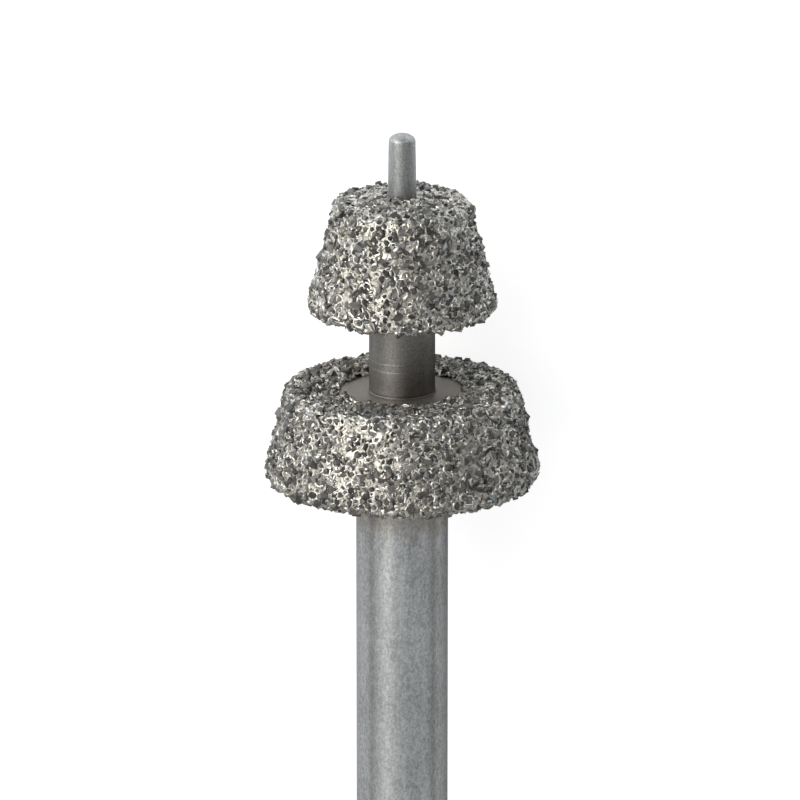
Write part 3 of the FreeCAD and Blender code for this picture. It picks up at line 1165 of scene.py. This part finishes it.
    def run(self, name: str, mesh: bpy.types.Mesh, settings: dict[str, Any]) -> bpy.types.Mesh:
        """Run the tree on a mesh.

        Args:
            name: name of the result.
            mesh: the skin, in millimetres about the bur's axis.
            settings: input values by name.

        Returns:
            A plain mesh, with the modifier gone.
        """
        carrier = bpy.data.objects.new(name + "_carrier", mesh)
        bpy.context.scene.collection.objects.link(carrier)
        modifier = carrier.modifiers.new("grit", "NODES")
        modifier.node_group = self.tree
        for item in self.tree.interface.items_tree:
            if item.in_out == "INPUT" and item.name in settings:
                modifier[item.identifier] = settings[item.name]
        graph = bpy.context.evaluated_depsgraph_get()
        made = bpy.data.meshes.new_from_object(
            carrier.evaluated_get(graph), preserve_all_data_layers=True, depsgraph=graph)
        made.name = name
        bpy.data.objects.remove(carrier)
        return made


@dataclass
class GritCoat:
    """Nickel bond, collars and diamond grains of one head."""

    head: str
    axis: BurAxis
    steel_path: list[Point]
    rim_radius: float
    shoulder_radius: float
    coat_thickness: float
    seed: int
    pitch: float = 0.045
    bond_share: float = 0.62
    sunk: float = 0.03
    undercut: float = 0.0
    edge_wander: float = 0.0
    edge_rings: int = 6
    edge_waves: float = 5.0
    edge_fractal: tuple[float, float, int] = (0.8, 2.0, 3)
    corner_steps: int = 8
    settings: dict[str, float] = field(default_factory=lambda: {
        "Spacing": 0.148, "Grain size": 0.185, "Size spread": 0.42, "Lift": -0.03, "Lift spread": 0.045,
        "Unevenness": 0.12})

    def skin_path(self) -> list[Point]:
        """Corners of the bond's outer surface, rounded as the coat is."""
        bond = self.coat_thickness * self.bond_share
        lost = self.coat_thickness - bond
        outer = offset_path(self.steel_path, bond)
        return round_path(outer, {1: self.rim_radius - lost, 2: self.shoulder_radius - lost}, self.corner_steps)

    def skin_mesh(self) -> bpy.types.Mesh:
        """Closed shell of the bond before its grains, with a "skin" attribute on its outer surface."""
        outer = divide_path(self.skin_path(), self.pitch)
        inner = list(reversed(offset_path(self.steel_path, -self.sunk)))
        inner[0] = (inner[0][0] + self.undercut, inner[0][1])
        widest = max(radius for radius, _ in outer)
        lathe = Lathe(round(math.tau * widest / self.pitch))
        mesh = lathe.turn(self.head + "_skin", outer + inner, closed=True)
        point_outwards(mesh, sharp_angle=180.0)
        rings = [0] * len(mesh.vertices)
        mesh.attributes["ring"].data.foreach_get("value", rings)
        last = len(outer) - 1
        cover = [1.0 if 0 < ring < last else 0.0 for ring in rings]
        mesh.attributes.new("skin", "FLOAT", "POINT").data.foreach_set("value", cover)
        if self.edge_wander:
            self.fray(mesh, rings, last)
        return mesh

    def fray(self, mesh: bpy.types.Mesh, rings: Sequence[int], last: int) -> None:
        """Let the coat's inner edge wander, as plating does at its mask.

        Args:
            mesh: the shell.
            rings: ring number of each vertex.
            last: number of the outer surface's last ring.
        """
        for vertex, ring in zip(mesh.vertices, rings):
            if last - self.edge_rings < ring <= last + 1:
                share = min(1.0, 1.0 - (last - ring) / self.edge_rings)
                flat = Vector((vertex.co.x, vertex.co.y, 0.0)).normalized()
                wave = noise.fractal(flat * self.edge_waves, *self.edge_fractal)
                vertex.co += flat * (wave * self.edge_wander * share)

    def build(self, tree: GritTree, stocks: dict[str, bpy.types.Collection],
              finishes: dict[Layer, bpy.types.Material]) -> None:
        """Make each layer of the coat as a piece.

        Args:
            tree: the shared Geometry Nodes tree.
            stocks: crystals and collars by input name.
            finishes: material of each layer.
        """
        skin = self.skin_mesh()
        for layer, finish in finishes.items():
            name = "%s_%s" % (self.head, layer.name.lower())
            values = dict(self.settings, **stocks, Seed=self.seed, Layer=layer.value, Finish=finish)
            mesh = tree.run(name, skin.copy(), values)
            mesh.polygons.foreach_set("use_smooth", [layer is not Layer.GRAINS] * len(mesh.polygons))
            finish_piece(name, mesh, self.axis, [self.head + "_grit_coat"])


# The studio


@dataclass(frozen=True)
class Softbox:
    """A rectangular light: degrees round the bur and towards the tip, sizes in metres, radiance."""

    name: str
    azimuth: float
    elevation: float
    width: float
    height: float
    radiance: float
    colour: Colour


@dataclass(frozen=True)
class FloorLook:
    """What the camera and the steel see of the floor, by place in metres: across the bur and along it; what the
    steel sees is a painted reflection.
    """

    reach: float = 3.0
    albedo: float = 0.86
    veil: float = 0.56
    glow: float = 0.77
    mirror_tint: Colour = (0.90, 0.965, 1.03)
    across: Fade = Fade(-0.002, 0.002, 0.15, 0.02)
    beyond_tip: Fade = Fade(0.0172, 0.0235, 0.0, 0.75)
    by_heads: Fade = Fade(0.0115, 0.0145, 0.0, 1.0)
    left_of_heads: Fade = Fade(-0.006, -0.003, 0.22, 0.0)
    right_of_heads: Fade = Fade(0.008, 0.013, 0.0, 0.20)


@dataclass(frozen=True)
class WorldLook:
    """Brightness of the surroundings by direction: X to the right, Y towards the tip, Z up."""

    tint: Colour = (0.965, 0.99, 1.01)
    horizon: Fade = Fade(-0.12, 0.12, 0.10, 0.36)
    climb: tuple[float, float] = (0.05, 0.30)
    overhead: float = 0.55
    dip_depth: Fade = Fade(-0.2, 0.12, 0.86, 0.05)
    dip_start: Fade = Fade(-0.2, 0.12, -0.05, -0.30)
    dip_end: float = 0.35
    far_right: Fade = Fade(0.72, 0.92, 0.0, 0.12)


@dataclass
class Studio:
    """White floor, dim surroundings, three soft lights and the camera of the photograph."""

    axis: BurAxis
    sizes: BurSizes
    camera_elevation: float = 17.3
    camera_distance: float = 207.0
    lens: float = 366.0
    sensor_width: float = 36.0
    clip_start: float = 0.01
    aim_below_tip: float = 7.037
    aim_left: float = 0.0534
    light_distance: float = 0.3
    floor: FloorLook = FloorLook()
    world: WorldLook = WorldLook()
    lamps: tuple[Softbox, ...] = (
        Softbox("key", -38.5, 19.0, 0.375, 0.24, 1.74, (1.0, 0.967, 0.90)),
        Softbox("side", -56.0, 30.0, 0.1, 0.1, 7.2, (1.0, 0.967, 0.90)),
        Softbox("glint", 55.0, 42.0, 0.065, 0.065, 9.0, (0.97, 1.0, 0.99)))

    def add_camera(self) -> None:
        """Set the camera where the photograph was taken from."""
        aim = self.axis.place(-self.aim_left, 0.0, self.sizes.overall_length - self.aim_below_tip)
        back = self.axis.direction(0.0, self.camera_elevation)
        side = Vector((1.0, 0.0, 0.0))
        camera = bpy.data.objects.new("camera", bpy.data.cameras.new("camera"))
        camera.data.lens = self.lens
        camera.data.sensor_width = self.sensor_width
        camera.data.clip_start = self.clip_start
        turn = Matrix((side, back.cross(side), back)).transposed().to_4x4()
        camera.matrix_world = Matrix.Translation(aim + back * self.camera_distance * MM) @ turn
        bpy.context.scene.collection.objects.link(camera)
        bpy.context.scene.camera = camera

    def add_floor(self) -> None:
        """Lay a floor that is white to the camera and keeps the bur's shadow; in the steel it shows a painted
        reflection, mostly dark, brighter to the left, beside the heads and beyond the tip.
        """
        look = self.floor
        corners = [(x * look.reach, y * look.reach, 0) for x, y in ((-1, -1), (1, -1), (1, 1), (-1, 1))]
        mesh = bpy.data.meshes.new("floor")
        mesh.from_pydata(corners, [], [(0, 1, 2, 3)])
        floor = bpy.data.objects.new("floor", mesh)
        bpy.context.scene.collection.objects.link(floor)
        material = bpy.data.materials.new("pale_floor")
        material.use_nodes = True
        material.node_tree.nodes.clear()
        build = TreeBuilder(material.node_tree)
        path = build.node("ShaderNodeLightPath").outputs
        seen = build.math("MAXIMUM", build.math("MAXIMUM", path["Is Camera Ray"], path["Is Glossy Ray"]),
                          path["Is Transmission Ray"])
        place = build.parts(build.node("ShaderNodeTexCoord").outputs["Object"])
        # Painted reflection: glow that only glossy rays see, brighter to the left, beside the heads and beyond the
        # tip.
        beside = build.plus(build.fade(place["X"], look.left_of_heads),
                            build.fade(place["X"], look.right_of_heads))
        by_heads = build.times(beside, build.fade(place["Y"], look.by_heads))
        plain = build.plus(build.fade(place["X"], look.across), build.fade(place["Y"], look.beyond_tip))
        strength = build.choose(path["Is Glossy Ray"], look.glow, build.plus(plain, by_heads))
        tone = build.blend(path["Is Glossy Ray"], (1.0, 1.0, 1.0), look.mirror_tint)
        matt, veil = (build.node("ShaderNodeBsdfDiffuse", {"Color": (grey, grey, grey, 1.0)}).outputs[0]
                      for grey in (look.albedo, look.veil))
        glow = build.node("ShaderNodeEmission", {"Color": tone, "Strength": strength})
        white = build.node("ShaderNodeAddShader", {0: veil, 1: glow.outputs[0]})
        shown = build.node("ShaderNodeMixShader", {0: seen, 1: matt, 2: white.outputs[0]})
        build.node("ShaderNodeOutputMaterial", {"Surface": shown.outputs[0]})
        mesh.materials.append(material)

    def add_world(self) -> None:
        """Paint the surroundings: pale overhead, dimmer at the horizon, and dark on the right by the heads."""
        look = self.world
        world = bpy.data.worlds.new("studio")
        bpy.context.scene.world = world
        world.use_nodes = True
        build = TreeBuilder(world.node_tree)
        way = build.parts(build.node("ShaderNodeTexCoord").outputs["Generated"])
        rise = build.remap(way["Z"], *look.climb, build.fade(way["Y"], look.horizon), look.overhead, smooth=True)
        dip = build.remap(way["X"], build.fade(way["Y"], look.dip_start), look.dip_end,
                          1.0, build.fade(way["Y"], look.dip_depth), smooth=True)
        studio = build.times(rise, build.plus(dip, build.fade(way["X"], look.far_right)))
        seen = build.node("ShaderNodeLightPath").outputs["Is Camera Ray"]
        back = world.node_tree.nodes["Background"]
        build.feed(back.inputs["Color"], build.blend(seen, look.tint, (1.0, 1.0, 1.0)))
        build.feed(back.inputs["Strength"], build.choose(seen, studio, 1.0))

    def add_light(self, lamp: Softbox) -> None:
        """Hang a soft light that the camera doesn't see.

        Args:
            lamp: where it hangs and how bright it is.
        """
        data = bpy.data.lights.new(lamp.name, "AREA")
        data.shape = "RECTANGLE"
        data.size = lamp.width
        data.size_y = lamp.height
        data.energy = lamp.radiance * math.pi * lamp.width * lamp.height
        data.color = lamp.colour
        light = bpy.data.objects.new(lamp.name, data)
        light.visible_camera = False
        way = self.axis.direction(lamp.azimuth, lamp.elevation)
        light.location = self.axis.place(0.0, 0.0, self.sizes.large_top) + way * self.light_distance
        light.rotation_mode = "QUATERNION"
        light.rotation_quaternion = way.to_track_quat("Z", "Y")
        bpy.context.scene.collection.objects.link(light)

    def build(self) -> None:
        """Set up the whole studio."""
        self.add_camera()
        self.add_floor()
        self.add_world()
        for lamp in self.lamps:
            self.add_light(lamp)
        bpy.context.scene.view_settings.view_transform = "Standard"


def main() -> None:
    """Build the bur and its studio, and report each piece."""
    logging.basicConfig(level=logging.INFO, format="%(name)s: %(message)s")
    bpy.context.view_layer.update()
    sizes = BurSizes()
    axis = BurAxis.from_record(frame["record"], sizes)
    Studio(axis, sizes).build()

    TurnedBlank(sizes, axis).build(SteelEffects.build(axis))
    stocks = {"Crystals": CrystalStock("crystal", CRYSTAL_KINDS, seed=5).build(),
              "Collars": CollarStock("collar", COLLAR_KINDS, seed=8).build()}
    tree = GritTree()
    bed = NickelFinish("plated_nickel_bed", (0.70, 0.67, 0.612), (0.33, 0.31, 0.275), 0.34, 0.004).make(axis)
    lips = NickelFinish("plated_nickel_lips", (0.74, 0.72, 0.67), (0.48, 0.46, 0.43), 0.31, 0.003).make(axis)
    diamond = DiamondFinish(
        "diamond_grit",
        [(0.0, (0.07, 0.065, 0.06)), (0.25, (0.115, 0.105, 0.096)), (0.5, (0.04, 0.038, 0.036)),
         (0.68, (0.19, 0.18, 0.165)), (0.86, (0.085, 0.092, 0.089))],
        # Painted glint colours of the few brightest facets.
        [(0.0, (0.32, 0.305, 0.28)), (0.955, (0.245, 0.285, 0.30)), (0.97, (0.38, 0.33, 0.23)),
         (0.982, (0.46, 0.45, 0.43))],
        0.12).make(axis)
    finishes = {Layer.BOND: bed, Layer.COLLARS: lips, Layer.GRAINS: diamond}
    large_path = sizes.core_path(sizes.large_base_diameter, sizes.large_height, sizes.large_top,
                                 (sizes.bare_ring_diameter / 2, sizes.large_top))
    small_path = sizes.core_path(sizes.small_base_diameter, sizes.small_height, sizes.small_top,
                                 (sizes.pilot_root_diameter / 2 - sizes.pilot_lap,
                                  sizes.small_top + sizes.small_crown))
    GritCoat("large", axis, large_path, sizes.large_rim_radius, sizes.large_shoulder_radius,
             sizes.coat_thickness, seed=11, undercut=0.1, edge_wander=0.09).build(tree, stocks, finishes)
    GritCoat("small", axis, small_path, sizes.small_rim_radius, sizes.small_shoulder_radius,
             sizes.coat_thickness, seed=12, pitch=0.04).build(tree, stocks, finishes)
    for stock in stocks.values():
        Stock.clear(stock)


if __name__ == "__main__":
    main()
